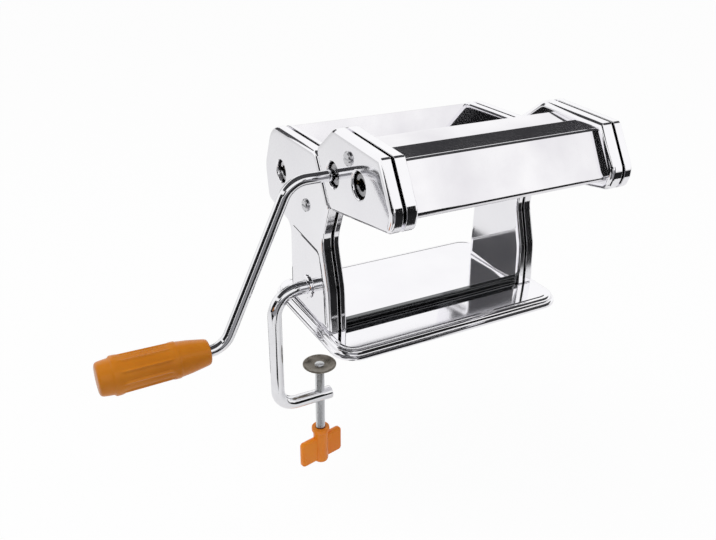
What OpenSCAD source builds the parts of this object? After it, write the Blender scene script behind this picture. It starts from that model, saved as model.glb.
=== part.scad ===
// Hand cranked pasta machine: a roller body on a flat base, a lift-off cutter head,
// a plug-in crank and a screw clamp for the table edge.
// Lengths are in millimetres. The rollers lie along X with the crank on the -X side,
// the front is -Y, +Z is up and Z = 0 is the table top under the rubber feet.

/* [Widths] */
// Clear width between the two body side frames
body_span = 158; // [140:1:180]
// Depth of the side frames from their flat face to the seam
frame_depth = 6; // [5.4:0.1:7]
// Depth of the side covers from the seam to their flat face
cover_depth = 9; // [8.4:0.1:10]
// How far the cutter head frames stand inside the body frames
head_step = 4; // [3.4:0.1:4.6]
// How far the cutter head covers stand behind the body covers
cover_step = 0.5; // [0.3:0.1:1]
// Thickness of the pressed side sheets
sheet = 1.2; // [1:0.1:1.4]
// Thickness of the panels, guides and scrapers
panel_sheet = 1; // [0.8:0.1:1.2]

/* [Base] */
// Width of the base that shows beside each body cover
base_ledge = 5.7; // [4:0.1:10]
// Depth of the base over its rim
base_depth = 131.4; // [128:0.2:136]
// Corner radius of the base
base_corner = 18; // [15:1:22]
// Diameter of the rubber feet
foot_d = 14; // [10:1:16]
// Diameter of the bar that ties the legs together at the front
front_bar_d = 5.6; // [4:0.1:6]

/* [Rollers] */
// Diameter of the two smooth rollers
roller_d = 28; // [27.6:0.1:28.2]
// Gap between the rollers at the thickest setting
gap_open = 3.1; // [2.9:0.1:3.3]
// Diameter of the roller journals
journal_d = 12; // [11:0.5:12]
// Outside diameter of the three crank sockets
socket_d = 14; // [13:0.5:14]
// Hole in the side covers around each crank socket
socket_hole_d = 17.4; // [16.5:0.1:18]

/* [Cutters] */
// Diameter of the cutter rings
ring_d = 18; // [17.8:0.1:18.2]
// Number of rings on each narrow cutter
narrow_rings = 37; // [30:1:40]
// Number of rings on each wide cutter
wide_rings = 11; // [9:1:14]

/* [Crank] */
// Diameter of the bent crank rod
crank_d = 8; // [7.5:0.1:8]
// Crank radius from the socket axis to the grip axis
crank_throw = 108.4; // [100:0.5:110]
// Length of the plastic grip
grip_length = 72; // [68:1:76]
// Largest diameter of the plastic grip
grip_d = 26; // [25:0.5:27]

/* [Clamp] */
// Diameter of the bent clamp rod
clamp_d = 10.5; // [10:0.1:10.8]
// Height of the clamp rod axis where it enters the leg
clamp_z = 30; // [29:0.5:31]
// Drop from that axis to the lower clamp arm
clamp_drop = 102; // [100:1:110]
// Diameter of the clamp screw
clamp_screw_d = 7.6; // [6.5:0.1:7.8]
// Diameter of the pressure pad
pad_d = 27; // [24:1:29]
// Span of the wing knob
wing_span = 41; // [38:1:44]

/* [Hidden] */
$fn = 48;
corner_steps = 7;
running = 0.05;
snug = 0.02;
seam_gap = 0.4;
touch = 0.1;

// Side planes, given as distances from the middle
frame_face = body_span / 2;
head_face = frame_face - head_step;
seam = frame_face + frame_depth;
body_face = seam + cover_depth;
cover_face = body_face - cover_step;
frame_rim = seam - seam_gap / 2;
cover_rim = seam + seam_gap / 2;
base_width = 2 * (body_face + base_ledge);
frame_back = frame_face + sheet;
head_back = head_face + sheet;

// Heights of the base
foot_h = 6.7;
foot_in_x = 18;
foot_in_y = 16;
rim_bottom = 1;
base_under = 6.8;
base_top = base_under + sheet;

// The slanted joint between body and cutter head, as a point and an angle from upright
joint_y = -14.5;
joint_z = 139;
joint_tilt = 30;
joint_gap = 0.5;
edge_bevel = 5;

// Roller axes
roller_z = 107.4;
rear_roller_y = 47.9;
front_roller_y = rear_roller_y - roller_d - gap_open;
roller_end = frame_face - 0.8;
gap_travel = 2.7;
gear_teeth = 14;
roller_module = (roller_d + gap_open - gap_travel) / gear_teeth;
gear_w = 6;
socket_sunk = 3;
socket_out = body_face - socket_sunk;
socket_bore_d = crank_d + 0.3;
socket_depth = 14;
pin_d = 3;
pin_slot = pin_d + 0.5;
pin_slot_depth = 6;
bush_wall = 2;

// Thickness adjuster: an eccentric shaft under the front roller
cam_throw = 1.5;
cam_swing = 64;
cam_d = 14;
cam_play = 0.35;
adjuster_d = 8;
adjuster_z = 80;
adjuster_y = front_roller_y + cam_throw * sin(cam_swing);
block_in = frame_back + 0.3;
block_out = block_in + 3;
gear_in = block_out + 0.5;
gear_out = gear_in + gear_w;
block_half = 9.6;
dial_d = 34;
dial_in = body_face + touch;
dial_out = dial_in + 1;
knob_d = 28;
knob_in = dial_out + 0.5;
knob_out = knob_in + 19;
knob_floor = knob_in + 6;
knob_pull = 4;
knob_cavity_d = 13;
adjuster_end = knob_out - 4;

// Fasteners
tie_d = 7;
front_tie = [2.4, 96];
rear_tie = [68, 104];
tie_points = [front_tie, rear_tie];
head_tie_d = 6;
head_tie_point = [-62.8, 149.1];
screw_d = 4;
screw_head_d = 9.4;
screw_head_h = 1.8;
screw_reach = 9;

// Cutter axes
ring_overlap = 1.2;
core_d = 12;
cutter_half = head_face - 1;
journal_lap = 1;
cutter_pitch = ring_d - ring_overlap;
narrow_axis = [-39.8, 131.5];
wide_axis = [-75.7, 135.7];
cutter_rise = 6.7;
mate_step = cutter_pitch * [-cos(cutter_rise), sin(cutter_rise)];
ring_play = 0.15;
cutter_journal_d = 8;
cutter_module = cutter_pitch / gear_teeth;
cutter_bush_long = 2.6;
cutter_gear_in = head_face + cutter_bush_long + 0.9;
cutter_gear_out = cutter_gear_in + 5.5;

// Crank path in the plane of the narrow cutter axis
crank_tip = socket_out - 12.5;
crank_pin_x = socket_out - 3;
crank_reach = 32.4;
crank_corner = socket_out + crank_reach;
crank_lean = 25.24;
crank_turn = 90 - crank_lean;
upper_bend = 18;
lower_bend = 16;
bend_lap = 0.3;
bend_relief = 0.04;
crank_low_x = crank_corner + crank_throw * tan(crank_lean);
grip_in = crank_low_x + 10.5;
grip_out = grip_in + grip_length;

// Clamp path in the plane through the leg hole
clamp_y = 3.6;
clamp_reach = 27.4;
clamp_x = body_face + clamp_reach;
clamp_tip = frame_back + 0.8;
clamp_bend_top = 20;
clamp_bend_low = 15.5;
clamp_low_z = clamp_z - clamp_drop;
clamp_screw_in = 9;
clamp_screw_x = body_face - clamp_screw_in;
clamp_arm_end = clamp_screw_x - 10;
pad_top = -41.5;
pad_h = 3;
pad_dish = 1.2;
knob_top = -104;
knob_h = 35;
knob_turn = 12;

// Side outlines as y, z and corner radius, counter-clockwise seen from +X
function joint_at(z, shift) = joint_y + (z - joint_z) * tan(joint_tilt) + shift / cos(joint_tilt);
body_top = 140;
body_chin = 106.5;
body_outline = [
    [joint_at(body_chin, joint_gap / 2), body_chin, 5.4],
    [-20.5, 76, 22],
    [-31.5, 40, 40],
    [-33.5, base_top, 0.5],
    [35.5, base_top, 0.5],
    [34, 69.5, 8],
    [77, 76.5, 6],
    [82, 104, 20],
    [66, body_top, 22],
    [joint_at(body_top, joint_gap / 2), body_top, 6]
];
head_crown = 142;
head_chin = 105;
head_outline = [
    [joint_at(head_crown, -joint_gap / 2), head_crown, 6],
    [-41, 163, 10],
    [-100.8, 159.8, 5.4],
    [-118.8, 130, 12],
    [-114.5, 117.5, 6.5],
    [joint_at(head_chin, -joint_gap / 2), head_chin, 5.4]
];
leg_panel = [
    [29.5, 12], [29, 60], [30.5, 71.2], [-16.5, 66.9], [-20.5, 58], [-25.3, 38], [-27.6, 12]
];
leg_panel_depth = 0.5;

steel = [0.86, 0.86, 0.88];
dark_steel = [0.55, 0.55, 0.57];
zinc = [0.72, 0.68, 0.6];
brass = [0.8, 0.66, 0.36];
amber = [0.9, 0.5, 0.12];
black = [0.12, 0.12, 0.13];

// Outline helpers
function unit(v) = v / norm(v);
function left_of(d) = [-d[1], d[0]];
function flat(p) = [p[0], p[1]];

// Points of one rounded corner after all edges move inwards by inset
function corner_points(list, i, inset) =
    let (
        count = len(list),
        before = flat(list[(i + count - 1) % count]),
        here = flat(list[i]),
        after = flat(list[(i + 1) % count]),
        d1 = unit(here - before),
        d2 = unit(after - here),
        n1 = left_of(d1),
        n2 = left_of(d2),
        turn = atan2(d1[0] * d2[1] - d1[1] * d2[0], d1 * d2),
        side = turn > 0 ? 1 : -1,
        radius = max(list[i][2] - side * inset, 0.4),
        apex = here + inset * (n1 + n2) / (1 + n1 * n2),
        centre = apex - d1 * radius * tan(abs(turn) / 2) + side * radius * n1,
        start = atan2(-side * n1[1], -side * n1[0])
    )
    [for (s = [0:corner_steps])
        let (a = start + turn * s / corner_steps)
        centre + radius * [cos(a), sin(a)]];

function outline(list, inset) =
    [for (i = [0:len(list) - 1]) each corner_points(list, i, inset)];

// Closed skin through rings of one outline; each ring is a distance along X and an inset
module skin(list, rings) {
    count = len(list) * (corner_steps + 1);
    last = len(rings) - 1;
    points = [for (r = rings) each [for (p = outline(list, r[1])) [r[0], p[0], p[1]]]];
    walls = [for (k = [0:last - 1], i = [0:count - 1])
        [k * count + i, (k + 1) * count + i,
         (k + 1) * count + (i + 1) % count, k * count + (i + 1) % count]];
    first_cap = [for (i = [0:count - 1]) i];
    last_cap = [for (i = [count - 1:-1:0]) last * count + i];
    polyhedron(points, concat([first_cap], walls, [last_cap]));
}

// Pressed pan: a flat face with a rounded bevel and a flange up to its rim
module pan(list, face, rim) {
    deep = rim - face;
    skin(list, [
        [face, edge_bevel],
        [face + 0.1 * deep, 0.5 * edge_bevel],
        [face + 0.28 * deep, 0.17 * edge_bevel],
        [face + 0.55 * deep, 0],
        [rim, 0],
        [rim, sheet],
        [face + 0.55 * deep, sheet],
        [face + 0.28 * deep + 0.5 * sheet, 0.17 * edge_bevel + sheet],
        [face + 0.1 * deep + 0.8 * sheet, 0.5 * edge_bevel + 0.7 * sheet],
        [face + sheet, edge_bevel]
    ]);
}

// Outline of a folded sheet of even thickness, laid on the left of a line of points
function fold_point(line, i, t) =
    let (
        last = len(line) - 1,
        n1 = left_of(unit(line[max(i, 1)] - line[max(i, 1) - 1])),
        n2 = left_of(unit(line[min(i, last - 1) + 1] - line[min(i, last - 1)]))
    )
    line[i] + t * (n1 + n2) / (1 + n1 * n2);
function folded(line, t) =
    concat(line, [for (i = [len(line) - 1:-1:0]) fold_point(line, i, t)]);

// Solid between two X planes with a profile in Y and Z
module along_x(from, to) {
    translate([from, 0, 0])
        rotate([90, 0, 90])
            linear_extrude(to - from)
                children();
}

module folded_sheet(line, half) {
    along_x(-half, half) polygon(folded(line, panel_sheet));
}

module rod_x(at, from, to, d) {
    translate([from, at[0], at[1]])
        rotate([0, 90, 0])
            cylinder(d = d, h = to - from);
}

module turned_x(at, profile) {
    translate([0, at[0], at[1]])
        rotate([0, 90, 0])
            rotate_extrude()
                polygon(profile);
}

module on_both_sides() {
    children();
    mirror([1, 0, 0]) children();
}

// Frame of the slanted joint: local Z runs up the joint, local Y points into the body
module at_joint() {
    translate([0, joint_y, joint_z])
        rotate([-joint_tilt, 0, 0])
            children();
}

// Arc of round rod in an upright plane along X
module rod_bend(x, z, radius, from, sweep, d) {
    translate([x, 0, z])
        rotate([90, 0, 0])
            rotate([0, 0, from])
                rotate_extrude(angle = sweep)
                    translate([radius, 0])
                        circle(d = d);
}

// Spur gear with involute flanks
pressure = 25;
tooth_tip = 0.85;
tooth_root = 1.15;
backlash = 0.16;
flank_steps = 3;
function roll_off(a) = tan(a) * 180 / PI - a;
function tooth_half(r, pitch_r, m) =
    let (base_r = pitch_r * cos(pressure), a = acos(min(1, base_r / max(r, base_r))))
    (PI * m / 2 - backlash) / (2 * pitch_r) * 180 / PI + roll_off(pressure) - roll_off(a);
function flank_radii(pitch_r, m) =
    let (low = pitch_r * cos(pressure), high = pitch_r + tooth_tip * m)
    concat([pitch_r - tooth_root * m],
        [for (s = [0:flank_steps]) low + (high - low) * s / flank_steps]);
function gear_points(teeth, m) =
    let (pitch_r = teeth * m / 2, radii = flank_radii(pitch_r, m), top = len(radii) - 1)
    [for (k = [0:teeth - 1])
        each concat(
            [for (i = [0:top])
                let (a = k * 360 / teeth - tooth_half(radii[i], pitch_r, m))
                radii[i] * [cos(a), sin(a)]],
            [for (i = [top:-1:0])
                let (a = k * 360 / teeth + tooth_half(radii[i], pitch_r, m))
                radii[i] * [cos(a), sin(a)]])];

module gear_x(at, from, to, m, bore, turn) {
    along_x(from, to)
        translate(at)
            rotate(turn)
                difference() {
                    polygon(gear_points(gear_teeth, m));
                    circle(d = bore);
                }
}

// Crank socket: blind bore with a cross slot for the crank pin
module socket_cut(at) {
    rod_x(at, -socket_out - 1, -socket_out + socket_depth, socket_bore_d);
    translate([-socket_out - 1, at[0] - socket_d, at[1] - pin_slot / 2])
        cube([pin_slot_depth + 1, 2 * socket_d, pin_slot]);
}

// Base and feet
base_rim = [
    [base_under, edge_bevel + 0.6],
    [base_under - 0.5, 4.4],
    [5.2, 3.6],
    [3.6, 3.2],
    [3, 1.6],
    [rim_bottom, 1.3],
    [rim_bottom, 0.4],
    [rim_bottom + 0.6, 0],
    [3, 0],
    [3.8, 0.5],
    [4.2, 1.6],
    [4.8, 2.1],
    [6.4, 2.3],
    [7.3, 2.8],
    [7.8, 3.6],
    [base_top, 4.5]
];
leg_screw_x = frame_rim - 2.6;
leg_screw_y = [-20, 22];
leg_screw_d = 3;
leg_screw_head_h = 2;
leg_screw_long = 6;

module at_leg_screws() {
    on_both_sides()
        for (y = leg_screw_y)
            translate([leg_screw_x, y, 0])
                children();
}

module base_tray() {
    w = base_width / 2;
    d = base_depth / 2;
    color(steel)
        difference() {
            rotate([0, -90, 0])
                skin([for (p = [[d, -w], [d, w], [-d, w], [-d, -w]]) [p[0], p[1], base_corner]], base_rim);
            at_leg_screws() cylinder(d = leg_screw_d + 0.2, h = base_top + 1);
        }
}

module rubber_feet() {
    color(black)
        for (x = [-1, 1], y = [-1, 1])
            translate([x * (base_width / 2 - foot_in_x), y * (base_depth / 2 - foot_in_y), 0])
                cylinder(d = foot_d, h = foot_h);
}

module leg_screws() {
    color(zinc)
        at_leg_screws() {
            translate([0, 0, base_under - touch - leg_screw_head_h])
                cylinder(d = 2 * leg_screw_d, h = leg_screw_head_h);
            translate([0, 0, base_under - touch - leg_screw_head_h / 2])
                cylinder(d = leg_screw_d, h = leg_screw_long);
        }
}

front_bar = [-28, base_top + 0.4 + front_bar_d / 2];
module front_tie_bar() {
    half = frame_face - touch;
    color(steel) rod_x(front_bar, -half, half, front_bar_d);
}

// Body sides
// Bearing seats of a body frame: a round hole behind, a slot in front, a hole for the adjuster
module frame_holes(rear_seat) {
    near = frame_face - 1;
    far = frame_rim + 1;
    slot_d = journal_d + 1;
    rod_x([rear_roller_y, roller_z], near, far, rear_seat);
    rod_x([front_roller_y, roller_z], near, far, slot_d);
    rod_x([front_roller_y + gap_travel, roller_z], near, far, slot_d);
    translate([near, front_roller_y, roller_z - slot_d / 2])
        cube([far - near, gap_travel, slot_d]);
    rod_x([adjuster_y, adjuster_z], near, far, adjuster_d + 2 * running);
    for (p = tie_points) rod_x(p, near, far, screw_d + 0.3);
}

module leg_screw_holes() {
    for (y = leg_screw_y)
        translate([leg_screw_x, y, base_top - 1])
            cylinder(d = leg_screw_d + 0.1, h = 4);
}

module body_frame(rear_seat) {
    difference() {
        pan(body_outline, frame_face, frame_rim);
        frame_holes(rear_seat);
        leg_screw_holes();
        rail_slot();
    }
}

module left_frame() {
    color(steel)
        mirror([1, 0, 0])
            body_frame(socket_d + 2 * bush_wall + 2 * snug);
}

module right_frame() {
    color(steel)
        body_frame(journal_d + 2 * bush_wall + 2 * snug);
}

module body_cover() {
    difference() {
        pan(body_outline, -body_face, -cover_rim);
        rod_x(front_tie, -body_face - 1, -cover_rim, screw_d + 0.3);
        translate([-body_face - 1 + leg_panel_depth, 0, 0])
            along_x(0, 1) polygon(leg_panel);
        children();
    }
}

module left_cover() {
    color(steel)
        body_cover() {
            rod_x([rear_roller_y, roller_z], -body_face - 1, -cover_rim, socket_hole_d);
            rod_x([clamp_y, clamp_z], -body_face - 1, -cover_rim, sleeve_d + 2 * snug);
        }
}

module right_cover() {
    color(steel)
        mirror([1, 0, 0])
            body_cover()
                rod_x([adjuster_y, adjuster_z], -body_face - 1, -cover_rim, adjuster_d + 0.6);
}

module tie_rods() {
    half = frame_face - touch;
    color(steel)
        for (p = tie_points)
            difference() {
                rod_x(p, -half, half, tie_d);
                on_both_sides() rod_x(p, half - screw_reach - 1, half + 1, screw_d + 2 * snug);
            }
}

// Round slotted screw with its head on a side sheet, pointing to -X
module side_screw(at, face, reach) {
    head = face + touch;
    difference() {
        union() {
            rod_x(at, -head, -reach, screw_d);
            turned_x(at, [
                [0, -head],
                [screw_head_d / 2, -head],
                [screw_head_d / 2, -head - 0.5 * screw_head_h],
                [screw_head_d / 2 - 0.9, -head - screw_head_h],
                [0, -head - screw_head_h]
            ]);
        }
        translate([-head - screw_head_h - 0.1, at[0] - screw_head_d, at[1] - 0.6])
            cube([0.9, 2 * screw_head_d, 1.2]);
    }
}

module cover_screws() {
    color(steel) on_both_sides() side_screw(front_tie, body_face, frame_face - screw_reach);
}

module frame_screws() {
    color(zinc) on_both_sides() side_screw(rear_tie, frame_back, frame_face - screw_reach);
}

// Panels of the roller body
rear_panel_line = [
    [51.2, 121.9], [57.6, 137.2], [61.4, 136.2], [75.2, 105.4], [74.6, 101.6]
];
front_panel_line = [
    [-20, 104.4], [-26, 106.6], [-8.6, 136.4], [3.6, 136.4], [20.6, 124]
];
rear_scraper_line = [[69, 97.6], [66, 96.4], [60, 98.8]];
front_scraper_line = [[11.4, 92], [6, 88.4], [6, 84]];

module hopper_rear_panel() {
    color(steel) folded_sheet(rear_panel_line, frame_face - touch);
}

module hopper_front_panel() {
    color(steel) folded_sheet(front_panel_line, frame_face - touch);
}

module rear_scraper() {
    color(dark_steel) folded_sheet(rear_scraper_line, frame_face - touch);
}

module front_scraper() {
    color(dark_steel) folded_sheet(front_scraper_line, frame_face - touch);
}

// Rails on the body frames that hold the cutter head
rail_x = frame_back + 1.2;
rail_w = 2;
rail_top = -8;
rail_length = 20;
rail_in = 4;
rail_out = 4.5;

module rail_bar(grow, top, length) {
    at_joint()
        translate([rail_x - grow, -rail_out - grow, top - length])
            cube([rail_w + 2 * grow, rail_out + rail_in + 2 * grow, length]);
}

module rail_slot() {
    rail_bar(snug, rail_top + snug, rail_length + 2 * snug);
}

module head_rail_slot() {
    rail_bar(0.2, rail_top + touch, rail_length + 20);
}

module head_rails() {
    color(dark_steel) on_both_sides() rail_bar(0, rail_top, rail_length);
}

// Rollers, their bearings and gears
module bush_x(at, from, to, bore) {
    difference() {
        rod_x(at, from, to, bore + 2 * bush_wall);
        rod_x(at, from - 1, to + 1, bore + 2 * running);
    }
}

module roller_bushes() {
    at = [rear_roller_y, roller_z];
    long = 3.8;
    color(brass) {
        bush_x(at, -frame_face - long, -frame_face, socket_d);
        bush_x(at, frame_face, frame_face + long, journal_d);
    }
}

module rear_roller() {
    at = [rear_roller_y, roller_z];
    color(steel)
        difference() {
            union() {
                rod_x(at, -roller_end, roller_end, roller_d);
                rod_x(at, -socket_out, -roller_end, socket_d);
                rod_x(at, roller_end, gear_out, journal_d);
            }
            socket_cut(at);
        }
}

module front_roller() {
    at = [front_roller_y, roller_z];
    color(steel) {
        rod_x(at, -roller_end, roller_end, roller_d);
        rod_x(at, -block_out - 1, -roller_end, journal_d);
        rod_x(at, roller_end, gear_out, journal_d);
    }
}

module rear_roller_gear() {
    color(dark_steel)
        gear_x([rear_roller_y, roller_z], gear_in, gear_out, roller_module, journal_d + 2 * snug, 180);
}

module front_roller_gear() {
    color(dark_steel)
        gear_x([front_roller_y, roller_z], gear_in, gear_out, roller_module, journal_d + 2 * snug,
            180 / gear_teeth);
}

// Sliding block with the journal bore above and the cam slot below
module bearing_block() {
    slot_w = cam_d + 2 * cam_play;
    slot_h = slot_w + 2 * cam_throw;
    low = adjuster_z - slot_h / 2 - 2.5;
    high = roller_z + journal_d / 2 + 4;
    difference() {
        translate([block_in, front_roller_y - block_half, low])
            cube([block_out - block_in, 2 * block_half, high - low]);
        rod_x([front_roller_y, roller_z], block_in - 1, block_out + 1, journal_d + 2 * running);
        translate([block_in - 1, front_roller_y - slot_w / 2, adjuster_z - slot_h / 2])
            cube([block_out - block_in + 2, slot_w, slot_h]);
    }
}

module bearing_blocks() {
    color(brass) on_both_sides() bearing_block();
}

// Adjuster
module adjuster_shaft() {
    at = [adjuster_y, adjuster_z];
    cam = at + cam_throw * [-sin(cam_swing), cos(cam_swing)];
    color(steel)
        difference() {
            union() {
                rod_x(at, -block_out - 1, adjuster_end, adjuster_d);
                on_both_sides() rod_x(cam, block_in, block_out, cam_d);
            }
            rod_x(at, adjuster_end - screw_reach, adjuster_end + 1, screw_d + 2 * snug);
        }
}

module dial_plate() {
    at = [adjuster_y, adjuster_z];
    color(steel)
        difference() {
            rod_x(at, dial_in, dial_out, dial_d);
            rod_x(at, dial_in - 1, dial_out + 1, adjuster_d + 0.6);
        }
}

knob_grooves = 10;
module adjuster_knob() {
    at = [adjuster_y, adjuster_z];
    groove_d = 4;
    color(black)
        difference() {
            turned_x(at, [
                [0, knob_in], [knob_d / 2, knob_in], [knob_d / 2, knob_out - 2],
                [knob_d / 2 - 2, knob_out], [0, knob_out]
            ]);
            rod_x(at, knob_in - 1, knob_out, adjuster_d + 2 * running);
            rod_x(at, knob_floor, knob_out + 1, knob_cavity_d);
            for (k = [0:knob_grooves - 1]) {
                a = k * 360 / knob_grooves;
                rod_x(at + (knob_d / 2 + 0.6) * [cos(a), sin(a)], knob_in + 3, knob_out + 1, groove_d);
            }
        }
}

module knob_spring() {
    at = [adjuster_y, adjuster_z];
    color(dark_steel)
        difference() {
            rod_x(at, knob_floor + knob_pull + 0.5, adjuster_end - touch, adjuster_d + 3.6);
            rod_x(at, knob_floor, adjuster_end, adjuster_d + 0.2);
        }
}

module knob_screw() {
    at = [adjuster_y, adjuster_z];
    color(zinc) {
        rod_x(at, adjuster_end - screw_reach + 1, adjuster_end + touch, screw_d);
        rod_x(at, adjuster_end + touch, adjuster_end + 2, knob_cavity_d - 1);
    }
}

module knob_cap() {
    color(black)
        rod_x([adjuster_y, adjuster_z], knob_out - 1.6, knob_out + 0.4, knob_cavity_d - 2 * snug);
}

// Cutter head sides
narrow_mate = narrow_axis + mate_step;
wide_mate = wide_axis + mate_step;
cutter_axes = [narrow_axis, narrow_mate, wide_axis, wide_mate];
driven_axes = [narrow_axis, wide_axis];
idle_axes = [narrow_mate, wide_mate];

module head_frame(driven_seat) {
    near = head_face - 1;
    far = frame_rim + 1;
    difference() {
        pan(head_outline, head_face, frame_rim);
        for (p = driven_axes) rod_x(p, near, far, driven_seat + 2 * bush_wall + 2 * snug);
        for (p = idle_axes) rod_x(p, near, far, cutter_journal_d + 2 * bush_wall + 2 * snug);
        rod_x(head_tie_point, near, far, screw_d + 0.3);
        head_rail_slot();
    }
}

module head_left_frame() {
    color(steel) mirror([1, 0, 0]) head_frame(socket_d);
}

module head_right_frame() {
    color(steel) head_frame(cutter_journal_d);
}

module head_cover() {
    difference() {
        pan(head_outline, -cover_face, -cover_rim);
        rod_x(head_tie_point, -cover_face - 1, -cover_rim, screw_d + 0.3);
        children();
    }
}

module head_left_cover() {
    color(steel)
        head_cover()
            for (p = driven_axes) rod_x(p, -cover_face - 1, -cover_rim, socket_hole_d);
}

module head_right_cover() {
    color(steel)
        mirror([1, 0, 0])
            difference() head_cover();
}

// Cutter head panels
head_front_line = [
    [-107.6, 123.4], [-110.4, 122.6], [-112.4, 125.8], [-95.4, 155.4], [-92.6, 155.2], [-87.4, 147]
];
head_guide_line = [
    [-80.8, 147], [-74.6, 155.8], [-54.4, 158], [-51.4, 144.6]
];
head_rear_line = [
    [-42.2, 144.4], [-25.4, 139], [-22.6, 137], [-36.6, 112.6]
];

module head_front_panel() {
    color(steel)
        along_x(-head_face + touch, head_face - touch)
            polygon(folded(head_front_line, -panel_sheet));
}

module head_guide_plate() {
    color(steel)
        along_x(-head_face + touch, head_face - touch)
            polygon(folded(head_guide_line, -panel_sheet));
}

module head_rear_panel() {
    color(steel)
        along_x(-head_face + touch, head_face - touch)
            polygon(folded(head_rear_line, panel_sheet));
}

module head_tie_rod() {
    half = head_face - touch;
    color(steel)
        difference() {
            rod_x(head_tie_point, -half, half, head_tie_d);
            on_both_sides() rod_x(head_tie_point, half - screw_reach - 1, half + 1, screw_d + 2 * snug);
        }
}

module head_screws() {
    color(steel) on_both_sides() side_screw(head_tie_point, cover_face, head_face - screw_reach);
}

// Cutters
module cutter_bushes() {
    outer = head_face + cutter_bush_long;
    color(brass) {
        for (p = driven_axes) bush_x(p, -outer, -head_face, socket_d);
        for (p = idle_axes) bush_x(p, -outer, -head_face, cutter_journal_d);
        for (p = cutter_axes) bush_x(p, head_face, outer, cutter_journal_d);
    }
}

// Rings of one cutter as a turned profile; phase moves them by a share of the pitch
module cutter_body(at, rings, phase) {
    pitch = 2 * cutter_half / rings;
    ring_w = pitch / 2 - ring_play;
    core = core_d / 2;
    tip = ring_d / 2;
    edges = [for (i = [0:rings - 1])
        let (x = -cutter_half + (i + phase) * pitch)
        each [[core, x], [tip, x], [tip, x + ring_w], [core, x + ring_w]]];
    ends = phase > 0
        ? concat([[0, -cutter_half], [core, -cutter_half]], edges, [[core, cutter_half], [0, cutter_half]])
        : concat([[0, -cutter_half]], edges, [[core, cutter_half], [0, cutter_half]]);
    turned_x(at, ends);
}

module cutter_driver(at, rings) {
    difference() {
        union() {
            cutter_body(at, rings, 0);
            rod_x(at, -socket_out, -cutter_half + journal_lap, socket_d);
            rod_x(at, cutter_half - journal_lap, cutter_gear_out, cutter_journal_d);
        }
        socket_cut(at);
    }
}

module cutter_mate(at, rings) {
    cutter_body(at, rings, 0.5);
    rod_x(at, -head_back - 2, -cutter_half + journal_lap, cutter_journal_d);
    rod_x(at, cutter_half - journal_lap, cutter_gear_out, cutter_journal_d);
}

module cutter_gear(at, turn) {
    color(dark_steel)
        gear_x(at, cutter_gear_in, cutter_gear_out, cutter_module, cutter_journal_d + 2 * snug, turn);
}
to_mate = 180 - cutter_rise;
to_driver = to_mate + 180 + 180 / gear_teeth;

module narrow_cutter_driver() {
    color(steel) cutter_driver(narrow_axis, narrow_rings);
}

module narrow_cutter_mate() {
    color(steel) cutter_mate(narrow_mate, narrow_rings);
}

module narrow_driver_gear() {
    cutter_gear(narrow_axis, to_mate);
}

module narrow_mate_gear() {
    cutter_gear(narrow_mate, to_driver);
}

module wide_cutter_driver() {
    color(steel) cutter_driver(wide_axis, wide_rings);
}

module wide_cutter_mate() {
    color(steel) cutter_mate(wide_mate, wide_rings);
}

module wide_driver_gear() {
    cutter_gear(wide_axis, to_mate);
}

module wide_mate_gear() {
    cutter_gear(wide_mate, to_driver);
}

// Comb under one cutter: a bar between the frames with a tooth in every groove
comb_bar_h = 5;
comb_bar_w = 4;
module comb(at, rings, phase) {
    pitch = 2 * cutter_half / rings;
    tooth_w = 0.55 * (pitch / 2 + ring_play);
    half = head_face - touch;
    bar_top = at[1] - ring_d / 2 - 0.6;
    tooth_top = at[1] - core_d / 2 - 0.8;
    along_x(-half, half)
        translate([at[0] - comb_bar_w / 2, bar_top - comb_bar_h])
            square([comb_bar_w, comb_bar_h]);
    for (i = [0:rings - 2]) {
        middle = -cutter_half + (i + phase + 0.75) * pitch;
        translate([middle - tooth_w / 2, at[0] - comb_bar_w / 2, bar_top - 1])
            cube([tooth_w, comb_bar_w, tooth_top - bar_top + 1]);
    }
}

module narrow_combs() {
    color(dark_steel) {
        comb(narrow_axis, narrow_rings, 0);
        comb(narrow_mate, narrow_rings, 0.5);
    }
}

module wide_combs() {
    color(dark_steel) {
        comb(wide_axis, wide_rings, 0);
        comb(wide_mate, wide_rings, 0.5);
    }
}

// Crank
module crank_bar() {
    top = narrow_axis[1];
    low = top - crank_throw;
    upper_tangent = upper_bend * tan(crank_turn / 2);
    lower_tangent = lower_bend * tan(crank_turn / 2);
    arm = crank_throw / cos(crank_lean) - upper_tangent - lower_tangent;
    straight_d = crank_d - bend_relief;
    translate([0, narrow_axis[0], 0]) {
        rod_x([0, top], -crank_corner + upper_tangent - bend_lap, -crank_tip, straight_d);
        rod_bend(-crank_corner + upper_tangent, top - upper_bend, upper_bend, 90, crank_turn, crank_d);
        translate([-crank_corner, 0, top])
            rotate([0, 180 + crank_lean, 0])
                translate([0, 0, upper_tangent - bend_lap])
                    cylinder(d = straight_d, h = arm + 2 * bend_lap);
        rod_bend(-crank_low_x - lower_tangent, low + lower_bend, lower_bend, 270, crank_turn, crank_d);
        rod_x([0, low], -grip_out + 6, -crank_low_x - lower_tangent + bend_lap, straight_d);
    }
}

module cross_pin(length, d) {
    translate([-crank_pin_x, narrow_axis[0] - length / 2, narrow_axis[1]])
        rotate([-90, 0, 0])
            cylinder(d = d, h = length);
}

module crank_rod() {
    color(steel)
        difference() {
            crank_bar();
            cross_pin(socket_d, pin_d + 2 * snug);
        }
}

module crank_pin() {
    color(steel) cross_pin(socket_d - 1, pin_d);
}

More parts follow.
